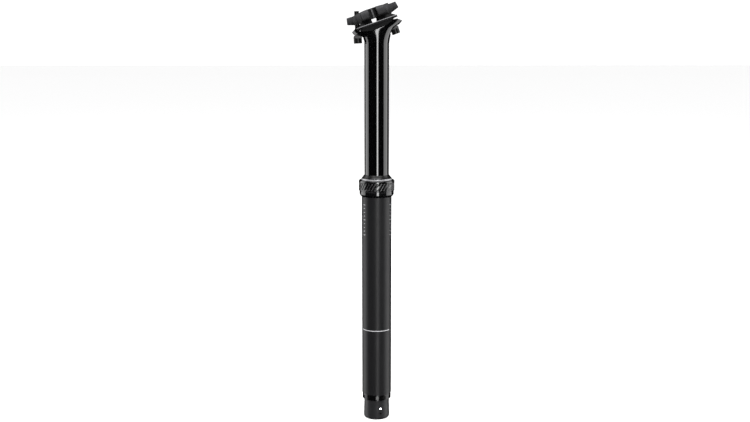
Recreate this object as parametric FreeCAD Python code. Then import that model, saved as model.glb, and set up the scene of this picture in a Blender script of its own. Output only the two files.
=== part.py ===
import FreeCAD, Part
import math
import os
from FreeCAD import Vector

# Dropper seatpost for a 31.6 mm seat tube, 125 mm of travel, in millimetres.
# Origin: on the post's axis, in the plane where the collar rests on the seat tube.
# +Z runs up the post to the saddle, +X to the rear of the bicycle, Y across it.

# Telescoping tubes
TUBE_R = 15.8               # outside of the 31.6 mm outer tube
TUBE_BORE_R = 14.1
TUBE_BOTTOM_Z = -214.9
STANCHION_R = 12.85
STANCHION_BORE_R = 11.35
STANCHION_BOTTOM_Z = -74.8
RUNNING_GAP = 0.08          # radial play of a sliding or turning fit
KEY_COUNT = 3
KEY_WIDTH = 2.5
KEY_LENGTH = 20.0
KEY_MIDDLE_Z = -48.0
KEY_INNER_R = 12.15
KEY_OUTER_R = 14.65

# Collar and wiper
COLLAR_R = 18.85
COLLAR_BAND_R = 18.1
COLLAR_THREAD_R = 15.0
COLLAR_THREAD_TOP_Z = 10.0
WIPER_SEAT_R = 15.4
COLLAR_TOP_Z = 17.8
WIPER_RING_R = 16.1
WIPER_RING_TOP_Z = 19.2

# Head, seen from the side
HEAD_Z = 159.8              # joint between stanchion and head
HEAD_TILT = 12.6            # the head's own slope, rear end up
HEAD_MIDDLE = (0.5, 175.6)  # x and z halfway between the two bolt ears
EAR_END = 27.2
EAR_TOP = 4.2
POCKET_HALF = 18.6
SLOT_HALF_WIDTH = 2.95
FRONT_SLOT = (-24.7, -15.5) # ends of the bolt slots, along the head's slope
REAR_SLOT = (11.4, 20.4)

# Saddle clamp
CLAMP_TILT = 19.0           # the rails' slope as the clamp is set
CLAMP_MIDDLE = (-2.75, 182.9)
ROCKER_R = 46.0
ROCKER_BOTTOM = -9.7
ROCKER_GAP = 0.2
RAIL_R = 3.55
RAIL_Y = 22.0
RAIL_V = 2.8
NUT_U = 16.7
NUT_V = 5.8
NUT_R = 4.0
NUT_HALF_LENGTH = 7.0
NUT_BOSS_R = 5.0
NUT_BOSS_HALF = 9.6
CRADLE_SHIFT = 0.9          # the cradle sits this far behind the clamp's middle

# Clamp bolts, M5
BOLT_R = 2.45
BOLT_HEAD_R = 4.25
BOLT_HEAD_HEIGHT = 5.4
BOLT_SHANK = 27.4
WASHER_R = 4.3
WASHER_HALF_LENGTH = 4.2
WASHER_GAP = 0.1
NUT_BORE_R = 2.85           # leaves the swinging bolt room in the nut
FRONT_PIVOT = (-19.6, 164.5)
REAR_PIVOT = (18.5, 174.0)

# Gas spring
CYLINDER_R = 9.2
CYLINDER_BORE_R = 8.0
CYLINDER_TOP_Z = 150.0
CYLINDER_BOTTOM_Z = -79.2
ROD_R = 4.0
ROD_BORE_R = 2.0
PUSH_ROD_R = 1.8
PISTON_GAP = 0.05

# Foot of the post and actuator
RING_BOTTOM_Z = -220.9
RING_R = 15.45
RING_NOTCHES = 12
PLUG_TOP_Z = -212.0
PLUG_BOTTOM_Z = -223.2
ROD_NUT_R = 6.6             # across the corners, halved
ROD_NUT_HEIGHT = 2.8
HOUSING_BOTTOM_Z = -242.8
HOUSING_BORE_R = 11.6
HOUSING_FLOOR_Z = -240.2
HOUSING_R = 13.65
LEVER_PIVOT = (3.5, -230.6)
LEVER_PIN_R = 0.9
SPRING_SEAT_Z = -238.4
CABLE_X = 8.0
CABLE_HOUSING_R = 2.55      # bore for the 5 mm end of a cable housing

UP = Vector(0, 0, 1)
ACROSS = Vector(0, 1, 0)


def cylinder(radius, low_z, high_z, x=0.0, y=0.0):
    return Part.makeCylinder(radius, high_z - low_z, Vector(x, y, low_z), UP)


def tube(outer, inner, low_z, high_z):
    return cylinder(outer, low_z, high_z).cut(cylinder(inner, low_z - 1, high_z + 1))


def cross_cylinder(radius, x, z, half_length):
    return Part.makeCylinder(radius, 2 * half_length, Vector(x, -half_length, z), ACROSS)


def box(low, high):
    size = [top - bottom for bottom, top in zip(low, high)]
    return Part.makeBox(size[0], size[1], size[2], Vector(*low))


def turned(points):
    """A ring or disc turned about the post's axis from (radius, z) points."""
    corners = [Vector(radius, 0, z) for radius, z in points]
    face = Part.Face(Part.makePolygon(corners + corners[:1]))
    return face.revolve(Vector(0, 0, 0), UP, 360)


def torus(major, minor, z):
    return Part.makeTorus(major, minor, Vector(0, 0, z), UP)


def outline(points, plane):
    """A closed face from points and three-point arcs, drawn in one of the row's planes.

    A point is a pair; an arc is ("arc", through, end).
    """
    place = {"xz": lambda p: Vector(p[0], 0, p[1]),
             "xy": lambda p: Vector(p[0], p[1], 0),
             "yz": lambda p: Vector(0, p[0], p[1])}[plane]
    edges = []
    last = place(points[0])
    for point in points[1:] + points[:1]:
        if point[0] == "arc":
            middle, end = place(point[1]), place(point[2])
            edges.append(Part.Arc(last, middle, end).toShape())
        else:
            end = place(point)
            if (end - last).Length < 1e-6:
                continue
            edges.append(Part.LineSegment(last, end).toShape())
        last = end
    return Part.Face(Part.Wire(edges))


def extruded(face, direction, half_length):
    start = face.translated(direction * -half_length)
    return start.extrude(direction * (2 * half_length))


def mirrored(shape, normal):
    return shape.mirror(Vector(0, 0, 0), normal)


def both_sides(shape):
    return shape.fuse(mirrored(shape, ACROSS))


def both_ends(shape):
    return shape.fuse(mirrored(shape, Vector(1, 0, 0)))


def placed(shape, tilt, middle):
    """Moves a shape drawn level about the origin to a sloping place in the head."""
    moved = shape.copy()
    moved.rotate(Vector(0, 0, 0), ACROSS, -tilt)
    moved.translate(Vector(middle[0], 0, middle[1]))
    return moved


def in_clamp(shape):
    return placed(shape, CLAMP_TILT, CLAMP_MIDDLE)


def in_head(shape):
    return placed(shape, HEAD_TILT, HEAD_MIDDLE)


def clamp_point(u, v):
    """The x and z of a point given along and square to the rails."""
    slope = math.radians(CLAMP_TILT)
    x = CLAMP_MIDDLE[0] + u * math.cos(slope) - v * math.sin(slope)
    z = CLAMP_MIDDLE[1] + u * math.sin(slope) + v * math.cos(slope)
    return x, z


def rocker_centre():
    return clamp_point(0, ROCKER_R + ROCKER_BOTTOM)


def bolt_lean(pivot, nut):
    """Degrees by which a bolt leans from vertical towards the rear, pivot to nut."""
    return math.degrees(math.atan2(nut[0] - pivot[0], nut[1] - pivot[1]))


def key_slot(inner, outer, width, low_z, high_z, angle):
    """A straight bar along Z with round ends, set at an angle round the post."""
    end = width / 2
    bar = box((inner, -end, low_z + end), (outer, end, high_z - end))
    for z in (low_z + end, high_z - end):
        bar = bar.fuse(Part.makeCylinder(end, outer - inner, Vector(inner, 0, z), Vector(1, 0, 0)))
    bar.rotate(Vector(0, 0, 0), UP, angle)
    return bar.removeSplitter()


def key_angles():
    return [90 + 360 / KEY_COUNT * index for index in range(KEY_COUNT)]


# ---- outer body --------------------------------------------------------------------------

def outer_tube():
    body = tube(TUBE_R, TUBE_BORE_R, TUBE_BOTTOM_Z, 0)
    body = body.fuse(tube(COLLAR_THREAD_R, TUBE_BORE_R, 0, COLLAR_THREAD_TOP_Z)).removeSplitter()
    keyway_depth = KEY_OUTER_R + 0.1
    for angle in key_angles():
        keyway = key_slot(TUBE_BORE_R - 1, keyway_depth, KEY_WIDTH + 0.2, -204, -14, angle)
        body = body.cut(keyway)
    return body


def collar():
    body = turned([(COLLAR_THREAD_R, 0), (16.0, 0), (COLLAR_BAND_R, 2.6), (COLLAR_BAND_R, 6.0),
                   (COLLAR_BAND_R - 0.4, 6.15), (COLLAR_BAND_R - 0.4, 6.4), (COLLAR_R, 6.7),
                   (COLLAR_R, 16.4), (18.35, 17.5), (17.9, COLLAR_TOP_Z),
                   (WIPER_SEAT_R, COLLAR_TOP_Z), (WIPER_SEAT_R, COLLAR_THREAD_TOP_Z),
                   (COLLAR_THREAD_R, COLLAR_THREAD_TOP_Z)])
    return body.cut(tube(16.2, COLLAR_THREAD_R - 0.5, 2.0, 3.2))


def collar_oring():
    return torus(15.6, 0.6, 2.6)


def wiper_seal():
    inner = STANCHION_R + RUNNING_GAP
    return turned([(inner + 1.0, COLLAR_THREAD_TOP_Z), (WIPER_SEAT_R, COLLAR_THREAD_TOP_Z),
                   (WIPER_SEAT_R, WIPER_RING_TOP_Z), (15.75, WIPER_RING_TOP_Z + 0.1), (15.6, 19.8),
                   (14.3, 21.3), (13.5, 22.4), (inner, 22.9),
                   (inner, 22.2), (13.6, 20.6), (13.6, 15.5), (inner, 14.0), (inner, 13.4),
                   (inner + 1.0, 12.6)])


def wiper_ring():
    return tube(WIPER_RING_R, WIPER_SEAT_R, COLLAR_TOP_Z, WIPER_RING_TOP_Z)


def upper_bushing():
    body = tube(TUBE_BORE_R, STANCHION_R + RUNNING_GAP, -11, 8)
    return body.cut(box((0, -0.8, -12), (20, 0.8, 9)))


def end_plug():
    body = cylinder(TUBE_BORE_R, TUBE_BOTTOM_Z + 0.4, PLUG_TOP_Z)
    body = body.fuse(cylinder(12.5, RING_BOTTOM_Z, TUBE_BOTTOM_Z + 0.4))
    body = body.fuse(cylinder(HOUSING_BORE_R, PLUG_BOTTOM_Z, RING_BOTTOM_Z)).removeSplitter()
    return body.cut(cylinder(ROD_R, PLUG_BOTTOM_Z - 1, PLUG_TOP_Z + 1))


def lock_ring():
    body = tube(RING_R, 12.5, RING_BOTTOM_Z, TUBE_BOTTOM_Z)
    notch = box((RING_R - 0.7, -1.5, RING_BOTTOM_Z + 1.0), (RING_R + 1, 1.5, TUBE_BOTTOM_Z - 1.6))
    for index in range(RING_NOTCHES):
        one = notch.copy()
        one.rotate(Vector(0, 0, 0), UP, 360 / RING_NOTCHES * index)
        body = body.cut(one)
    return body


def bottom_bumper():
    low, high = PLUG_TOP_Z, PLUG_TOP_Z + 5.4
    return turned([(ROD_R + 0.3, low), (11.5, low), (12.0, low + 2.0), (10.5, high), (ROD_R + 0.3, high)])


def piston_rod():
    return tube(ROD_R, ROD_BORE_R, PLUG_BOTTOM_Z - ROD_NUT_HEIGHT - 0.2, -56)


def rod_nut():
    low = PLUG_BOTTOM_Z - ROD_NUT_HEIGHT
    angles = [math.radians(60 * corner) for corner in range(7)]
    corners = [Vector(ROD_NUT_R * math.cos(angle), ROD_NUT_R * math.sin(angle), low) for angle in angles]
    body = Part.Face(Part.makePolygon(corners)).extrude(UP * ROD_NUT_HEIGHT)
    return body.cut(cylinder(ROD_R, low - 1, PLUG_BOTTOM_Z + 1))


def piston():
    radius = CYLINDER_BORE_R - PISTON_GAP
    body = cylinder(radius, -62, -50).cut(cylinder(ROD_R, -63, -56))
    body = body.cut(cylinder(2.3, -57, -53)).cut(cylinder(1.0, -54, -49))
    return body.cut(tube(radius + 1, 6.9, -57.2, -54.8))


def piston_seal():
    return tube(CYLINDER_BORE_R - 0.02, 6.9, -57.2, -54.8)


def actuator_housing():
    body = turned([(HOUSING_BORE_R, RING_BOTTOM_Z), (13.6, RING_BOTTOM_Z), (HOUSING_R, -231),
                   (13.8, -232), (13.8, -241.2), (13.3, -242.3), (12.2, HOUSING_BOTTOM_Z),
                   (0, HOUSING_BOTTOM_Z), (0, HOUSING_FLOOR_Z), (HOUSING_BORE_R, HOUSING_FLOOR_Z)])
    body = body.cut(cross_cylinder(LEVER_PIN_R, LEVER_PIVOT[0], LEVER_PIVOT[1], 20))
    body = body.cut(cylinder(3.6, -250, -235, CABLE_X))
    access_hole = Part.makeCylinder(1.0, 8, Vector(LEVER_PIVOT[0], -18, -235.6), ACROSS)
    return body.cut(access_hole)


def lever_pin():
    half = math.sqrt(HOUSING_R ** 2 - LEVER_PIVOT[0] ** 2) - 0.15
    return cross_cylinder(LEVER_PIN_R, LEVER_PIVOT[0], LEVER_PIVOT[1], half)


def cable_stop():
    body = cylinder(3.6, HOUSING_BOTTOM_Z + 0.2, SPRING_SEAT_Z, CABLE_X)
    body = body.cut(cylinder(CABLE_HOUSING_R, -244, -239.4, CABLE_X))
    return body.cut(cylinder(0.9, -240, -238, CABLE_X))


def return_spring():
    wire_r = 0.3
    coil_r = 2.2
    height = LEVER_PIVOT[1] - 2.7 - SPRING_SEAT_Z - 2 * wire_r
    start = Vector(CABLE_X + coil_r, 0, SPRING_SEAT_Z + wire_r)
    helix = Part.makeHelix(height / 2.9, height, coil_r)
    helix.translate(Vector(CABLE_X, 0, SPRING_SEAT_Z + wire_r))
    section = Part.Wire(Part.makeCircle(wire_r, start, ACROSS))
    return Part.Wire(helix.Edges).makePipeShell([section], True, True)


# ---- actuator ----------------------------------------------------------------------------

def actuator_lever():
    x, z = LEVER_PIVOT
    arm = outline([(-0.2, z - 0.6), (x + 1, z - 2.4), (CABLE_X + 1.4, z - 2.4),
                   ("arc", (CABLE_X + 2.7, z - 0.4), (CABLE_X + 1.4, z + 1.6)), (x + 1.5, z + 2.2),
                   (1.2, z + 1.6), ("arc", (0, z + 2.2), (-1.2, z + 1.2))], "xz")
    body = extruded(arm, ACROSS, 3.0)
    body = body.fuse(cross_cylinder(2.5, x, z, 8.5))
    body = body.cut(cross_cylinder(LEVER_PIN_R + RUNNING_GAP, x, z, 12))
    body = body.cut(cross_cylinder(1.5, CABLE_X, z - 0.4, 12))
    return body.cut(cylinder(0.9, z - 5, z - 0.4, CABLE_X)).removeSplitter()


def cable_anchor():
    return cross_cylinder(1.5, CABLE_X, LEVER_PIVOT[1] - 0.4, 3.6)


def valve_push_rod():
    return cylinder(PUSH_ROD_R, LEVER_PIVOT[1] + 2.35, -57.4)


# ---- sliding post ------------------------------------------------------------------------

def stanchion():
    body = tube(STANCHION_R, STANCHION_BORE_R, STANCHION_BOTTOM_Z, HEAD_Z)
    low = KEY_MIDDLE_Z - KEY_LENGTH / 2
    for angle in key_angles():
        body = body.cut(key_slot(KEY_INNER_R, KEY_OUTER_R, KEY_WIDTH, low, low + KEY_LENGTH, angle))
    return body


def guide_key(angle):
    low = KEY_MIDDLE_Z - KEY_LENGTH / 2
    return key_slot(KEY_INNER_R, KEY_OUTER_R, KEY_WIDTH, low, low + KEY_LENGTH, angle)


def lower_bushing():
    body = tube(TUBE_BORE_R - RUNNING_GAP, STANCHION_R, -72.8, -61.8)
    return body.cut(box((-20, -0.8, -73), (0, 0.8, -61)))


def bushing_clip():
    body = tube(13.7, STANCHION_R, -74.0, -72.9)
    return body.cut(box((-20, -2.5, -75), (0, 2.5, -72)))


def gas_cylinder():
    body = tube(CYLINDER_R, CYLINDER_BORE_R, CYLINDER_BOTTOM_Z, CYLINDER_TOP_Z)
    return body.cut(tube(8.5, 7.5, -79.0, -78.0))


def cylinder_top_cap():
    body = cylinder(CYLINDER_BORE_R, 138, CYLINDER_TOP_Z)
    return body.fuse(cylinder(4.0, CYLINDER_TOP_Z, 164)).removeSplitter()


def rod_gland():
    body = tube(CYLINDER_BORE_R, ROD_R + PISTON_GAP, -78, -68)
    return body.cut(tube(6.2, ROD_R - 0.5, -72.6, -69.6))


def rod_seal():
    return tube(6.2, ROD_R + 0.03, -72.6, -69.6)


def gland_snap_ring():
    return tube(8.5, 6.8, -79.0, -78.0).cut(box((-20, -2, -80), (0, 2, -77)))


def topout_bumper():
    return tube(7.6, ROD_R + 0.4, -68, -63)


def seatpost_head():
    # Flared neck and ears: each row is x, z, tilt, half length and half width of an oval
    sections = [(0.0, HEAD_Z, 0.0, 12.95, 12.94), (0.0, 163.0, 2.0, 13.5, 12.94),
                (-0.3, 167.4, 7.0, 15.6, 12.94), (-0.8, 171.6, HEAD_TILT, 21.4, 12.9),
                (0.0, 175.0, HEAD_TILT, 25.4, 12.7), (0.2, 178.5, HEAD_TILT, EAR_END, 12.4),
                (-0.2, 181.8, HEAD_TILT, EAR_END, 12.4)]
    wires = []
    for x, z, tilt, half_length, half_width in sections:
        ring = Part.Ellipse(Vector(0, 0, 0), half_length, half_width)
        wires.append(placed(Part.Wire(ring.toShape()), tilt, (x, z)))
    body = Part.makeLoft(wires, True, False)
    body = body.fuse(tube(STANCHION_BORE_R, 9.5, 139.8, 152))
    body = body.fuse(cylinder(STANCHION_BORE_R, 152, HEAD_Z)).removeSplitter()

    # Ear tops, sloped off towards their ends, and the hollow that the rocker turns in
    above = outline([(-40, -8), (-26.8, 0.6), (-21.0, EAR_TOP), (21.5, EAR_TOP), (27.9, 0.4),
                     (40, -7), (40, 40), (-40, 40)], "xz")
    body = body.cut(in_head(extruded(above, ACROSS, 30)))
    centre_x, centre_z = rocker_centre()
    hollow = cross_cylinder(ROCKER_R + ROCKER_GAP, centre_x, centre_z, 30)
    body = body.cut(hollow.common(in_head(box((-POCKET_HALF, -30, -20), (POCKET_HALF, 30, 40)))))

    # Bolt slots through the ears, and the half-round seats under them
    for inner, outer in (FRONT_SLOT, REAR_SLOT):
        slot = box((inner, -SLOT_HALF_WIDTH, -20), (outer, SLOT_HALF_WIDTH, 20))
        body = body.cut(in_head(slot))
    for pivot in (FRONT_PIVOT, REAR_PIVOT):
        seat = cross_cylinder(WASHER_R + WASHER_GAP, pivot[0], pivot[1], 5.0)
        body = body.cut(seat)
        lean = bolt_lean(pivot, nut_point(pivot))
        relief = box((-6.0, -5.2, -20), (6.0, 5.2, 2.7))
        body = body.cut(placed(relief, -lean, pivot).cut(cylinder(12.96, 100, 200)))
    body = body.cut(cylinder(4.0, 150, 164.5))
    return body.removeSplitter()


# ---- floating piston ---------------------------------------------------------------------

def floating_piston():
    radius = CYLINDER_BORE_R - PISTON_GAP
    body = cylinder(radius, 88, 98).cut(cylinder(5.5, 91, 99))
    return body.cut(tube(radius + 1, 7.0, 92, 94.4))


def floating_piston_seal():
    return tube(CYLINDER_BORE_R - 0.02, 7.0, 92, 94.4)


# ---- saddle clamp ------------------------------------------------------------------------

def rail_channels(body):
    for side in (-1, 1):
        groove = Part.makeCylinder(RAIL_R, 80, Vector(-40, side * RAIL_Y, RAIL_V), Vector(1, 0, 0))
        body = body.cut(groove)
    return body


def upper_clamp():
    plan = outline([(0, 12), (3.6, 12), (4.2, 13), (4.2, 25.5), (5.0, 27), (11.2, 27), (12.2, 25.5),
                    ("arc", (13.6, 15.0), (19.4, 8.6)), (24.3, 7.6),
                    ("arc", (26.7, 6.7), (27.6, 4.2)), (27.6, 0), (0, 0)], "xy")
    plan = both_ends(both_sides(plan.extrude(UP * 40).translated(UP * -20))).removeSplitter()
    side = outline([(0, 1.6), (12.5, 1.6), (14.5, 1.2), (19.0, 1.2), (27.6, 4.1), (26.2, 10.6),
                    (20.0, 10.4), ("arc", (10.0, 11.7), (0, 12.1))], "xz")
    side = both_ends(extruded(side, ACROSS, 40)).removeSplitter()
    section = outline([(0, 1.0), (16, 1.0), (16, 3.3), (27.0, 3.3), (27.0, 5.5),
                       ("arc", (25.2, 9.6), (20.5, 12.1)), (0, 13)], "yz")
    section = both_sides(extruded(section, Vector(1, 0, 0), 40)).removeSplitter()
    body = plan.common(side).common(section)
    rib = box((-0.7, 12, 1.8), (0.7, 17.0, 10.6))
    body = body.fuse(rib).fuse(mirrored(rib, ACROSS))
    body = rail_channels(body)
    for end in (-1, 1):
        # Round boss for the barrel nut, whose blind bore opens on the left side
        body = body.fuse(cross_cylinder(NUT_BOSS_R, end * NUT_U, NUT_V, NUT_BOSS_HALF))
        bore = Part.makeCylinder(NUT_R + 0.1, 40, Vector(end * NUT_U, -NUT_HALF_LENGTH - 0.2, NUT_V), ACROSS)
        body = body.cut(bore)
        slot = box((end * NUT_U - 6.0, -3.0, -5), (end * NUT_U + 6.0, 3.0, 20))
        body = body.cut(slot)
    return in_clamp(body.removeSplitter())


def lower_cradle():
    half = 19.9
    plan = outline([(-half, 16), ("arc", (-half + 1.2, 25.8), (-half + 5, 27)), (half - 5, 27),
                    ("arc", (half - 1.2, 25.8), (half, 16)), (half, 11), (half - 1, 9.4),
                    (13.6, 9.4), ("arc", (10.4, 0), (13.6, -9.4)), (half - 1, -9.4), (half, -11),
                    (half, -16), ("arc", (half - 1.2, -25.8), (half - 5, -27)), (-half + 5, -27),
                    ("arc", (-half + 1.2, -25.8), (-half, -16)), (-half, -11), (-half + 1, -9.4),
                    (-13.6, -9.4), ("arc", (-12.2, 0), (-13.6, 9.4)), (-half + 1, 9.4),
                    (-half, 11)], "xy")
    plan = plan.extrude(UP * 40).translated(Vector(CRADLE_SHIFT, 0, -20))
    plate = box((-30, -27, -4.7), (30, 27, -2.3))
    pad = outline([(16.4, -4.0), (16.4, 2.3), (21.0, 2.3), (25.0, -1.2), (27.0, -2.6), (27.0, -4.0)], "yz")
    pads = both_sides(extruded(pad, Vector(1, 0, 0), 25))
    slope = both_ends(extruded(outline([(0, 3), (12.6, 3), (16.2, 0.4), (20.0, -2.2), (20.0, -5), (0, -5)],
                                       "xz"), ACROSS, 30))
    pads = pads.common(slope).translated(Vector(CRADLE_SHIFT, 0, 0))
    gap = box((-3.6, -30, -2.3), (3.6, 30, 5))
    upper = plate.fuse(pads).cut(gap)
    rocker = cross_cylinder(ROCKER_R, 0, ROCKER_R + ROCKER_BOTTOM, 12.6)
    rocker = rocker.common(box((-17.6 + CRADLE_SHIFT, -12.6, -20), (15.4 + CRADLE_SHIFT, 12.6, -3)))
    body = upper.fuse(rocker).common(plan)
    body = rail_channels(body)
    return in_clamp(body.removeSplitter())


def nut_point(pivot):
    return clamp_point(-NUT_U if pivot == FRONT_PIVOT else NUT_U, NUT_V)


def along_bolt(shape, pivot):
    """Moves a shape drawn upright about the origin onto a bolt's axis at its pivot."""
    return placed(shape, -bolt_lean(pivot, nut_point(pivot)), pivot)


def clamp_bolt(pivot):
    shank = Part.makeCylinder(BOLT_R, BOLT_SHANK, Vector(0, 0, 0), UP)
    head = Part.makeCylinder(BOLT_HEAD_R, BOLT_HEAD_HEIGHT, Vector(0, 0, -BOLT_HEAD_HEIGHT), UP)
    head = head.makeChamfer(0.4, [head.Edges[2]])
    socket_r = 2.0 / math.cos(math.radians(30))
    corners = [Vector(socket_r * math.cos(math.radians(60 * corner)),
                      socket_r * math.sin(math.radians(60 * corner)), -BOLT_HEAD_HEIGHT - 1)
               for corner in range(7)]
    socket = Part.Face(Part.makePolygon(corners)).extrude(UP * 3.6)
    return along_bolt(shank.fuse(head).removeSplitter().cut(socket), pivot)


def bolt_washer(pivot):
    body = cross_cylinder(WASHER_R, 0, 0, WASHER_HALF_LENGTH)
    body = body.common(box((-10, -10, 0), (10, 10, 10)))
    body = body.cut(Part.makeCylinder(BOLT_R + RUNNING_GAP, 20, Vector(0, 0, -5), UP))
    return along_bolt(body, pivot)


def barrel_nut(pivot):
    x, z = nut_point(pivot)
    body = along_bolt(cross_cylinder(NUT_R, 0, 0, NUT_HALF_LENGTH), pivot)
    body.translate(Vector(x - pivot[0], 0, z - pivot[1]))
    bore = along_bolt(Part.makeCylinder(NUT_BORE_R, 60, Vector(0, 0, -10), UP), pivot)
    return body.cut(bore)


def build():
    parts = {
        "outer_tube": outer_tube(), "collar": collar(), "collar_oring": collar_oring(),
        "wiper_seal": wiper_seal(), "wiper_ring": wiper_ring(), "upper_bushing": upper_bushing(),
        "end_plug": end_plug(), "lock_ring": lock_ring(), "bottom_bumper": bottom_bumper(),
        "piston_rod": piston_rod(), "rod_nut": rod_nut(), "piston": piston(),
        "piston_seal": piston_seal(), "actuator_housing": actuator_housing(),
        "lever_pin": lever_pin(), "cable_stop": cable_stop(), "return_spring": return_spring(),
        "actuator_lever": actuator_lever(), "cable_anchor": cable_anchor(),
        "valve_push_rod": valve_push_rod(),
        "stanchion": stanchion(), "lower_bushing": lower_bushing(), "bushing_clip": bushing_clip(),
        "gas_cylinder": gas_cylinder(), "cylinder_top_cap": cylinder_top_cap(),
        "rod_gland": rod_gland(), "rod_seal": rod_seal(), "gland_snap_ring": gland_snap_ring(),
        "topout_bumper": topout_bumper(), "seatpost_head": seatpost_head(),
        "floating_piston": floating_piston(), "floating_piston_seal": floating_piston_seal(),
        "upper_clamp": upper_clamp(), "lower_cradle": lower_cradle(),
    }
    for index, angle in enumerate(key_angles()):
        parts["guide_key_%d" % (index + 1)] = guide_key(angle)
    for name, pivot in (("front", FRONT_PIVOT), ("rear", REAR_PIVOT)):
        parts[name + "_clamp_bolt"] = clamp_bolt(pivot)
        parts[name + "_bolt_washer"] = bolt_washer(pivot)
        parts[name + "_barrel_nut"] = barrel_nut(pivot)
    return parts


os.makedirs("parts", exist_ok=True)
for node, shape in build().items():
    if not shape.isValid():
        print("not valid:", node)
    print("%-22s solids %d volume %.1f" % (node, len(shape.Solids), shape.Volume))
    shape.exportStep("parts/%s.step" % node)
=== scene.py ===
from math import atan2, cos, pi, radians, sin, tan

import bmesh
import bpy
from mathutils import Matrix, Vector


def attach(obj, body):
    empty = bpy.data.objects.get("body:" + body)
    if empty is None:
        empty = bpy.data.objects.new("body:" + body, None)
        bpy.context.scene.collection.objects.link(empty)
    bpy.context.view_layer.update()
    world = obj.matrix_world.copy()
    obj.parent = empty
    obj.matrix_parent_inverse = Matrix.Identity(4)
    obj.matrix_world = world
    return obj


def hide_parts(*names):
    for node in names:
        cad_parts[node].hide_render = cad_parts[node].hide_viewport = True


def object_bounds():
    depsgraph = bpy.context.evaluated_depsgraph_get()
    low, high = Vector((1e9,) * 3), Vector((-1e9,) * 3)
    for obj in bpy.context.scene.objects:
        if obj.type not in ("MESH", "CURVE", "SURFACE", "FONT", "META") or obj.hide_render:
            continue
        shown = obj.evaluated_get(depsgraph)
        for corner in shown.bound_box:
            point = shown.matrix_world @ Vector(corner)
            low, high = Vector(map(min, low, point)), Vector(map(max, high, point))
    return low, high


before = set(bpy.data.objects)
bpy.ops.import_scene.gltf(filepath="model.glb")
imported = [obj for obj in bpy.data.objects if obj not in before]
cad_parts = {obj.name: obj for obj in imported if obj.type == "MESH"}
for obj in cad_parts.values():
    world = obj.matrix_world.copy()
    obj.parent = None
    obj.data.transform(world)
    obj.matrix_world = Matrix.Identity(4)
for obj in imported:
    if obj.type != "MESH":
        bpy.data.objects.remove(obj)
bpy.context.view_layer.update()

# ---------------------------------------------------------------- outer tube
# A drawn aluminium tube, bead-blasted and anodised black, which slides into
# the bicycle's seat tube. It carries the collar at the top and the ring below.

scene = bpy.context.scene
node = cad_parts
MM = 0.001
BROAD_GRAIN = 60.0
RELIEF_DEPTH = 0.05 * MM


def finish(
    name, low, high, rough, grain,
    stretch=(1, 1, 1), bump=0.1, metallic=0.0, specular=0.5, spread=0.06,
):
    """A surface finish: two shades, two roughnesses and a fine relief, all from one stretched grain."""
    material = bpy.data.materials.new(name)
    material.use_nodes = True
    tree = material.node_tree
    shader = tree.nodes["Principled BSDF"]
    shader.inputs["Metallic"].default_value = metallic
    shader.inputs["Specular IOR Level"].default_value = specular

    place = tree.nodes.new("ShaderNodeTexCoord")
    turn = tree.nodes.new("ShaderNodeMapping")
    turn.inputs["Scale"].default_value = stretch
    tree.links.new(place.outputs["Object"], turn.inputs["Vector"])

    fine = tree.nodes.new("ShaderNodeTexNoise")
    fine.inputs["Scale"].default_value = grain
    fine.inputs["Detail"].default_value = 4.0
    tree.links.new(turn.outputs["Vector"], fine.inputs["Vector"])

    broad = tree.nodes.new("ShaderNodeTexNoise")
    broad.inputs["Scale"].default_value = BROAD_GRAIN
    broad.inputs["Detail"].default_value = 3.0
    tree.links.new(place.outputs["Object"], broad.inputs["Vector"])

    shade = tree.nodes.new("ShaderNodeValToRGB")
    shade.color_ramp.elements[0].position = 0.3
    shade.color_ramp.elements[0].color = (*low, 1.0)
    shade.color_ramp.elements[1].position = 0.7
    shade.color_ramp.elements[1].color = (*high, 1.0)
    tree.links.new(fine.outputs["Fac"], shade.inputs["Fac"])
    tree.links.new(shade.outputs["Color"], shader.inputs["Base Color"])

    gloss = tree.nodes.new("ShaderNodeMapRange")
    gloss.inputs["To Min"].default_value = rough - spread
    gloss.inputs["To Max"].default_value = rough + spread
    tree.links.new(broad.outputs["Fac"], gloss.inputs["Value"])
    tree.links.new(gloss.outputs["Result"], shader.inputs["Roughness"])

    relief = tree.nodes.new("ShaderNodeBump")
    relief.inputs["Strength"].default_value = bump
    relief.inputs["Distance"].default_value = RELIEF_DEPTH
    tree.links.new(fine.outputs["Fac"], relief.inputs["Height"])
    tree.links.new(relief.outputs["Normal"], shader.inputs["Normal"])
    return material


def dress(material, *names):
    """Puts a finish on CAD nodes."""
    for name in names:
        piece = node[name]
        if not piece.data.materials:
            piece.data.materials.append(material)
        for slot in piece.material_slots:
            slot.material = material


tube_black = finish(
    "tube_black",
    low=(0.0035, 0.0035, 0.0040),
    high=(0.0065, 0.0065, 0.0072),
    rough=0.42,
    grain=2600.0,
    bump=0.12,
    specular=0.2,
    spread=0.04,
)
dress(tube_black, "outer_tube", "end_plug")

# ---------------------------------------------------------------- tube marks
# Pale laser marks on the outer tube: the line of least insertion and two
# short columns of depth ticks. They are etched into the black anodising.

TUBE_RADIUS = 15.8 * MM
MARK_RADIUS = TUBE_RADIUS + 0.03 * MM
LINE_LOW = -143.6 * MM
LINE_HIGH = -143.05 * MM
LINE_START = radians(-72)
LINE_END = radians(55)
TICK_SIDES = (-58, 62)
TICK_COUNT = 9
TICK_TOP = -8.0 * MM
TICK_PITCH = 4.0 * MM
TICK_HALF_HEIGHT = 0.2 * MM
LONG_TICK = radians(5.5)
SHORT_TICK = radians(3.2)


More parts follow.
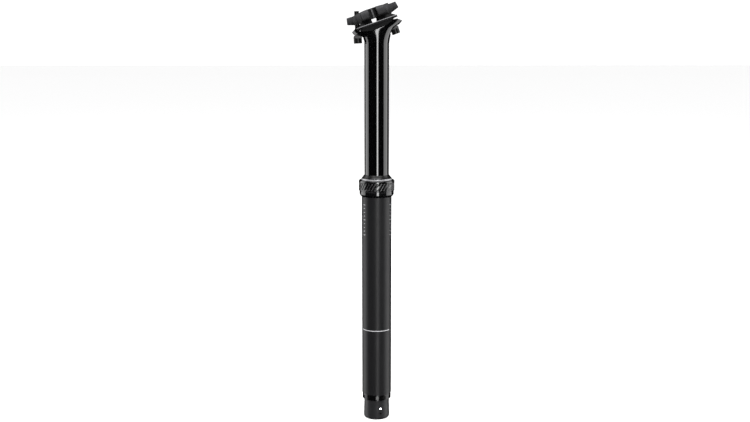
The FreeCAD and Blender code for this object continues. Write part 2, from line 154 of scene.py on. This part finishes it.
def wrapped_patch(bm, radius, start, end, low, high, steps):
    """One printed patch that follows the tube from angle start to end and from height low to high."""
    rows = []
    for i in range(steps + 1):
        a = start + (end - start) * i / steps
        rows.append([bm.verts.new((radius * sin(a), -radius * cos(a), z)) for z in (low, high)])
    for left, right in zip(rows, rows[1:]):
        bm.faces.new((left[0], right[0], right[1], left[1]))


def new_piece(name, bm, material, body):
    """Turns a finished bmesh into a shown piece that rides on a body."""
    bmesh.ops.recalc_face_normals(bm, faces=bm.faces)
    mesh = bpy.data.meshes.new(name)
    bm.to_mesh(mesh)
    bm.free()
    mesh.materials.append(material)
    piece = bpy.data.objects.new(name, mesh)
    scene.collection.objects.link(piece)
    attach(piece, body)
    return piece


mark_grey = finish(
    "mark_grey",
    low=(0.30, 0.30, 0.31),
    high=(0.42, 0.42, 0.43),
    rough=0.55,
    grain=5200.0,
    bump=0.05,
)
bm = bmesh.new()
wrapped_patch(bm, MARK_RADIUS, LINE_START, LINE_END, LINE_LOW, LINE_HIGH, 48)
for side in TICK_SIDES:
    for i in range(TICK_COUNT):
        middle = TICK_TOP - TICK_PITCH * i
        half_turn = LONG_TICK if i % 4 == 0 else SHORT_TICK
        wrapped_patch(
            bm,
            MARK_RADIUS,
            radians(side) - half_turn,
            radians(side) + half_turn,
            middle - TICK_HALF_HEIGHT,
            middle + TICK_HALF_HEIGHT,
            3,
        )
new_piece("tube_marks", bm, mark_grey, "outer")

# ---------------------------------------------------------------- collar
# A turned aluminium collar screwed over the top of the outer tube. Thirty-six
# slanting grip grooves are milled round its wide band, and it is anodised black.

COLLAR_RADIUS = 18.85
LIP_RADIUS = 18.1
GRIP_LOW = 7.4
GRIP_HIGH = 15.2
GRIP_ROWS = 20
GRIP_COUNT = 36
GRIP_STEPS = 14
GRIP_LEAN = tan(radians(31))
GRIP_DEPTH = 0.6
GRIP_RUN_OUT = 0.9
GROOVE_EDGE = 0.78
GROOVE_SLOPE = 0.22
CREST_PLACE = 0.86
CREST_HALF = 0.11
COLLAR_OUTLINE = [
    (15.0, 0.0),
    (16.0, 0.0),
    (17.2, 1.1),
    (LIP_RADIUS, 2.6),
    (LIP_RADIUS, 5.55),
    (LIP_RADIUS, 5.9),
    (17.5, 6.1),
    (17.5, 6.5),
    (18.75, 6.6),
    (COLLAR_RADIUS, 6.8),
    (COLLAR_RADIUS, GRIP_LOW),
    (COLLAR_RADIUS, GRIP_HIGH),
    (COLLAR_RADIUS, 16.3),
    (18.6, 17.1),
    (LIP_RADIUS, 17.6),
    (17.6, 17.8),
    (15.4, 17.8),
    (15.4, 10.0),
    (15.0, 10.0),
]


def tint(tree, amount, colour):
    """Lays a colour over the finish's own shades by the given amount."""
    base = tree.nodes["Principled BSDF"].inputs["Base Color"]
    under = base.links[0].from_socket
    layer = tree.nodes.new("ShaderNodeMix")
    layer.data_type = "RGBA"
    layer.inputs["B"].default_value = (*colour, 1.0)
    tree.links.new(amount, layer.inputs["Factor"])
    tree.links.new(under, layer.inputs["A"])
    tree.links.new(layer.outputs["Result"], base)


collar_black = finish(
    "collar_black",
    low=(0.0010, 0.0010, 0.0011),
    high=(0.0022, 0.0022, 0.0024),
    rough=0.12,
    grain=700.0,
    stretch=(0.2, 0.2, 12.0),
    bump=0.03,
    spread=0.02,
)
tree = collar_black.node_tree
# Painted highlight: a vertex attribute lays a pale grey over the collar's black, on one edge of each grip
# groove and round the top edge of the lower band.
edge_highlight_attribute = tree.nodes.new("ShaderNodeAttribute")
edge_highlight_attribute.attribute_name = "painted_edge_highlight"
tint(tree, edge_highlight_attribute.outputs["Fac"], (0.045, 0.045, 0.047))

outline = []
for r, z in COLLAR_OUTLINE:
    if z == GRIP_HIGH:
        outline += [(r, GRIP_LOW + (GRIP_HIGH - GRIP_LOW) * i / GRIP_ROWS) for i in range(1, GRIP_ROWS)]
    outline.append((r, z))
bm = bmesh.new()
painted_edge_highlight = bm.verts.layers.float.new("painted_edge_highlight")
verts = [bm.verts.new((r * MM, 0.0, z * MM)) for r, z in outline]
edges = [bm.edges.new((a, b)) for a, b in zip(verts, verts[1:] + verts[:1])]
bmesh.ops.spin(
    bm,
    geom=verts + edges,
    cent=(0, 0, 0),
    axis=(0, 0, 1),
    angle=2 * pi,
    steps=GRIP_COUNT * GRIP_STEPS,
    use_merge=True,
)
pitch = 2 * pi * COLLAR_RADIUS / GRIP_COUNT
for v in bm.verts:
    r = v.co.xy.length / MM
    z = v.co.z / MM
    # Painted highlight round the top edge of the lower band.
    if r > 18.0 and 5.6 < z < 6.0:
        v[painted_edge_highlight] = 0.8
    if r < 18.5 or not GRIP_LOW < z < GRIP_HIGH:
        continue
    turn = atan2(v.co.y, v.co.x) / (2 * pi) * GRIP_COUNT - (z - GRIP_LOW) * GRIP_LEAN / pitch
    across = abs((turn % 1.0) - 0.5) * 2.0
    groove = min(1.0, max(0.0, (GROOVE_EDGE - across) / GROOVE_SLOPE))
    run_out = min(1.0, (z - GRIP_LOW) / GRIP_RUN_OUT, (GRIP_HIGH - z) / GRIP_RUN_OUT)
    v.co.xy *= 1.0 - GRIP_DEPTH * groove * run_out / r
    # Painted highlight along one edge of each groove's crest, fading out where the grooves run out.
    crest = max(0.0, 1.0 - abs((turn % 1.0) - CREST_PLACE) / CREST_HALF)
    v[painted_edge_highlight] = crest * max(0.0, run_out)
for face in bm.faces:
    face.smooth = True
collar = new_piece("grip_collar", bm, collar_black, "outer")
collar.modifiers.new("crisp", "EDGE_SPLIT").split_angle = radians(28)
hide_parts("collar")

# ---------------------------------------------------------------- wiper
# The rubber wiper lip seals on the sliding tube. A thin bare metal ring under
# the lip holds it into the collar.

wiper_rubber = finish(
    "wiper_rubber",
    low=(0.002, 0.002, 0.002),
    high=(0.004, 0.004, 0.004),
    rough=0.3,
    grain=3200.0,
    bump=0.1,
    specular=0.25,
)
dress(wiper_rubber, "wiper_seal", "collar_oring", "bottom_bumper", "piston_seal", "rod_seal", "topout_bumper")
dress(wiper_rubber, "floating_piston_seal")
wiper_ring_metal = finish(
    "wiper_ring_metal",
    low=(0.22, 0.22, 0.23),
    high=(0.32, 0.32, 0.33),
    rough=0.42,
    grain=900.0,
    stretch=(0.2, 0.2, 14.0),
    bump=0.05,
    metallic=0.3,
)
dress(wiper_ring_metal, "wiper_ring")

# ---------------------------------------------------------------- sliding tube and head
# The sliding tube is drawn, ground, hard-anodised and polished black. The
# forged head grows out of its top and has the same deep gloss.

stanchion_black = finish(
    "stanchion_black",
    low=(0.0004, 0.0004, 0.0005),
    high=(0.0010, 0.0010, 0.0011),
    rough=0.06,
    grain=500.0,
    stretch=(6.0, 6.0, 0.12),
    bump=0.01,
    spread=0.015,
)
dress(stanchion_black, "stanchion")
head_black = finish(
    "head_black",
    low=(0.0005, 0.0005, 0.0006),
    high=(0.0014, 0.0014, 0.0015),
    rough=0.11,
    grain=900.0,
    bump=0.02,
    spread=0.02,
)
dress(head_black, "seatpost_head")

# ---------------------------------------------------------------- saddle clamp
# Upper clamp and lower cradle are forged and machined aluminium, bead-blasted
# before anodising, so that they look dull and a little grey beside the head.
# Their colours carry painted light. The upper clamp is painted darker towards its underside and nearly black
# in the recess between its lobes as painted shade, with a pale painted highlight along the rib in that
# recess. The cradle has a pale painted highlight line along its rim.

CLAMP_TILT = radians(19)
PAINTED_SHADE_CLEAR_RISE = 9.5 * MM
PAINTED_SHADE_FULL_RISE = 2.5 * MM
RECESS_HALF = 4.1 * MM
RIB_HALF = 0.75 * MM
RIM_HEIGHT = -2.65 * MM
RIM_HALF = 0.35 * MM
CLAMP_MIDDLE_RISE = (2.75 * sin(CLAMP_TILT) + 182.9 * cos(CLAMP_TILT)) * MM
CLAMP_MIDDLE_RUN = (-2.75 * cos(CLAMP_TILT) + 182.9 * sin(CLAMP_TILT)) * MM

clamp_black = finish(
    "clamp_black",
    low=(0.020, 0.020, 0.0212),
    high=(0.034, 0.034, 0.0356),
    rough=0.36,
    grain=2400.0,
    bump=0.22,
    specular=0.04,
)


def along(tree, direction, start):
    """Node output: how far a point lies along a direction from a starting distance, in metres."""
    place = tree.nodes.new("ShaderNodeTexCoord")
    measure = tree.nodes.new("ShaderNodeVectorMath")
    measure.operation = "DOT_PRODUCT"
    measure.inputs[1].default_value = direction
    tree.links.new(place.outputs["Object"], measure.inputs[0])
    offset = tree.nodes.new("ShaderNodeMath")
    offset.operation = "SUBTRACT"
    offset.inputs[1].default_value = start
    tree.links.new(measure.outputs["Value"], offset.inputs[0])
    return offset.outputs["Value"]


def near(tree, distance, middle, half):
    """Node output: 1 where the distance is within half of the middle, else 0."""
    band = tree.nodes.new("ShaderNodeMath")
    band.operation = "COMPARE"
    band.inputs[1].default_value = middle
    band.inputs[2].default_value = half
    tree.links.new(distance, band.inputs[0])
    return band.outputs["Value"]


tree = clamp_black.node_tree
rise = along(tree, (-sin(CLAMP_TILT), 0.0, cos(CLAMP_TILT)), CLAMP_MIDDLE_RISE)
run = along(tree, (cos(CLAMP_TILT), 0.0, sin(CLAMP_TILT)), CLAMP_MIDDLE_RUN)
# Painted shade: the clamp's colour darkens from 9.5 mm down to 2.5 mm above the rails' middle, towards its
# underside.
painted_underside_shade = tree.nodes.new("ShaderNodeMapRange")
painted_underside_shade.inputs["From Min"].default_value = PAINTED_SHADE_CLEAR_RISE
painted_underside_shade.inputs["From Max"].default_value = PAINTED_SHADE_FULL_RISE
tree.links.new(rise, painted_underside_shade.inputs["Value"])
tint(tree, painted_underside_shade.outputs["Result"], (0.003, 0.003, 0.0032))
# Painted shade: nearly black in the recess between the lobes, within 4.1 mm of the rails' middle.
tint(tree, near(tree, run, 0.0, RECESS_HALF), (0.0008, 0.0008, 0.0009))
# Painted highlight: a pale stripe along the rib in the middle of the recess.
tint(tree, near(tree, run, 0.0, RIB_HALF), (0.06, 0.06, 0.062))
dress(clamp_black, "upper_clamp")
cradle_black = finish(
    "cradle_black",
    low=(0.0015, 0.0015, 0.0016),
    high=(0.0035, 0.0035, 0.0037),
    rough=0.3,
    grain=1600.0,
    bump=0.06,
    specular=0.02,
)
tree = cradle_black.node_tree
rise = along(tree, (-sin(CLAMP_TILT), 0.0, cos(CLAMP_TILT)), CLAMP_MIDDLE_RISE)
# Painted highlight: a pale line along the cradle's rim.
tint(tree, near(tree, rise, RIM_HEIGHT, RIM_HALF), (0.11, 0.11, 0.113))
dress(cradle_black, "lower_cradle")

# ---------------------------------------------------------------- clamp bolts
# Two M5 steel screws with a black oxide finish, their round cross washers, and
# the barrel nuts in the upper clamp that they pull down.

bolt_black = finish(
    "bolt_black",
    low=(0.002, 0.002, 0.002),
    high=(0.005, 0.005, 0.005),
    rough=0.24,
    grain=1500.0,
    bump=0.08,
    specular=0.12,
)
dress(bolt_black, "front_clamp_bolt", "rear_clamp_bolt", "front_bolt_washer", "rear_bolt_washer")
dress(bolt_black, "front_barrel_nut", "rear_barrel_nut")

# ---------------------------------------------------------------- lock ring and foot
# The notched ring is aluminium, anodised a glossy black. The foot below it is
# blasted and anodised aluminium, a little paler than the outer tube.

ring_black = finish(
    "ring_black",
    low=(0.0008, 0.0008, 0.0009),
    high=(0.0018, 0.0018, 0.0019),
    rough=0.2,
    grain=800.0,
    stretch=(0.2, 0.2, 10.0),
    bump=0.03,
    specular=0.22,
    spread=0.02,
)
dress(ring_black, "lock_ring")
foot_black = finish(
    "foot_black",
    low=(0.0065, 0.0065, 0.0073),
    high=(0.0105, 0.0105, 0.0116),
    rough=0.46,
    grain=1900.0,
    bump=0.2,
    specular=0.2,
    spread=0.05,
)
dress(foot_black, "actuator_housing")

# ---------------------------------------------------------------- inner pieces
# The cartridge, guides and cable works sit inside the tubes and the foot. Of
# them all only the end of the lever pin shows, as a bright dot on the foot.

bushing_plastic = finish(
    "bushing_plastic",
    low=(0.10, 0.10, 0.09),
    high=(0.16, 0.16, 0.15),
    rough=0.45,
    grain=1800.0,
)
dress(bushing_plastic, "upper_bushing", "lower_bushing", "bushing_clip")
key_brass = finish(
    "key_brass",
    low=(0.55, 0.40, 0.16),
    high=(0.70, 0.52, 0.22),
    rough=0.28,
    grain=900.0,
    stretch=(1, 1, 8),
    metallic=1.0,
)
dress(key_brass, "guide_key_1", "guide_key_2", "guide_key_3")
bare_aluminium = finish(
    "bare_aluminium",
    low=(0.58, 0.58, 0.60),
    high=(0.74, 0.74, 0.75),
    rough=0.3,
    grain=800.0,
    stretch=(0.3, 0.3, 10.0),
    metallic=1.0,
)
dress(bare_aluminium, "gas_cylinder", "cylinder_top_cap", "rod_gland", "piston", "floating_piston", "rod_nut")
dress(bare_aluminium, "actuator_lever", "cable_stop")
rod_chrome = finish(
    "rod_chrome",
    low=(0.60, 0.60, 0.62),
    high=(0.70, 0.70, 0.72),
    rough=0.08,
    grain=900.0,
    stretch=(0.3, 0.3, 9.0),
    bump=0.02,
    metallic=1.0,
    spread=0.02,
)
dress(rod_chrome, "piston_rod", "valve_push_rod", "lever_pin", "cable_anchor")
spring_steel = finish(
    "spring_steel",
    low=(0.36, 0.36, 0.37),
    high=(0.50, 0.50, 0.51),
    rough=0.3,
    grain=1500.0,
    metallic=1.0,
)
dress(spring_steel, "return_spring", "gland_snap_ring")

# ---------------------------------------------------------------- floor, light and camera
# A plain white studio: a wide pale floor, two tall soft boxes beside the post,
# a narrow strip in front and a soft box overhead.

FLOOR_HALF = 30.0
PANEL_MIDDLE = 0.1
OVERHEAD_SIDE = 1.3
OVERHEAD_HEIGHT = 1.7
OVERHEAD_RADIANCE = 7.0

floor_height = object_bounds()[0][2]
bm = bmesh.new()
bmesh.ops.create_grid(bm, x_segments=1, y_segments=1, size=FLOOR_HALF)
for v in bm.verts:
    v.co.z = floor_height
floor_mesh = bpy.data.meshes.new("floor")
bm.to_mesh(floor_mesh)
bm.free()
floor = bpy.data.objects.new("floor", floor_mesh)
scene.collection.objects.link(floor)
floor_white = bpy.data.materials.new("floor_white")
floor_white.use_nodes = True
floor_shader = floor_white.node_tree.nodes["Principled BSDF"]
floor_shader.inputs["Base Color"].default_value = (0.93, 0.93, 0.93, 1.0)
floor_shader.inputs["Roughness"].default_value = 0.9
floor_mesh.materials.append(floor_white)
floor.visible_glossy = False

world = bpy.data.worlds.new("studio")
scene.world = world
world.use_nodes = True
world.node_tree.nodes["Background"].inputs["Color"].default_value = (1.0, 1.0, 1.0, 1.0)
world.node_tree.nodes["Background"].inputs["Strength"].default_value = 1.15
world.cycles_visibility.glossy = False
scene.view_settings.view_transform = "Standard"


def soft_box(name, bearing, distance, width, tall, radiance):
    """A lit panel that faces the post from a bearing in degrees, 0 in front and 90 on the +X side."""
    light = bpy.data.lights.new(name, "AREA")
    light.shape = "RECTANGLE"
    light.size = width
    light.size_y = tall
    light.energy = radiance * pi * width * tall
    panel = bpy.data.objects.new(name, light)
    a = radians(bearing)
    panel.location = (distance * sin(a), -distance * cos(a), PANEL_MIDDLE)
    aim = Vector((0.0, 0.0, PANEL_MIDDLE)) - panel.location
    panel.rotation_euler = aim.to_track_quat("-Z", "Y").to_euler()
    panel.visible_camera = False
    scene.collection.objects.link(panel)


soft_box("left_box", -108, 1.3, 1.06, 2.4, 3.2)
soft_box("right_box", 90, 1.3, 1.16, 2.4, 3.4)
soft_box("front_strip", 4.6, 1.7, 0.38, 2.6, 13.5)
overhead = bpy.data.lights.new("overhead", "AREA")
overhead.size = OVERHEAD_SIDE
overhead.energy = OVERHEAD_RADIANCE * pi * OVERHEAD_SIDE ** 2
overhead_panel = bpy.data.objects.new("overhead", overhead)
overhead_panel.location = (0.0, 0.0, OVERHEAD_HEIGHT)
overhead_panel.visible_camera = False
scene.collection.objects.link(overhead_panel)

camera_data = bpy.data.cameras.new("camera")
camera_data.sensor_width = 36.0
camera_data.lens = 47.87
camera = bpy.data.objects.new("camera", camera_data)
camera.location = (-0.05466, -1.04297, 0.1502)
camera.rotation_euler = (radians(90.0 - 9.043), 0.0, radians(-2.903))
scene.collection.objects.link(camera)
scene.camera = camera
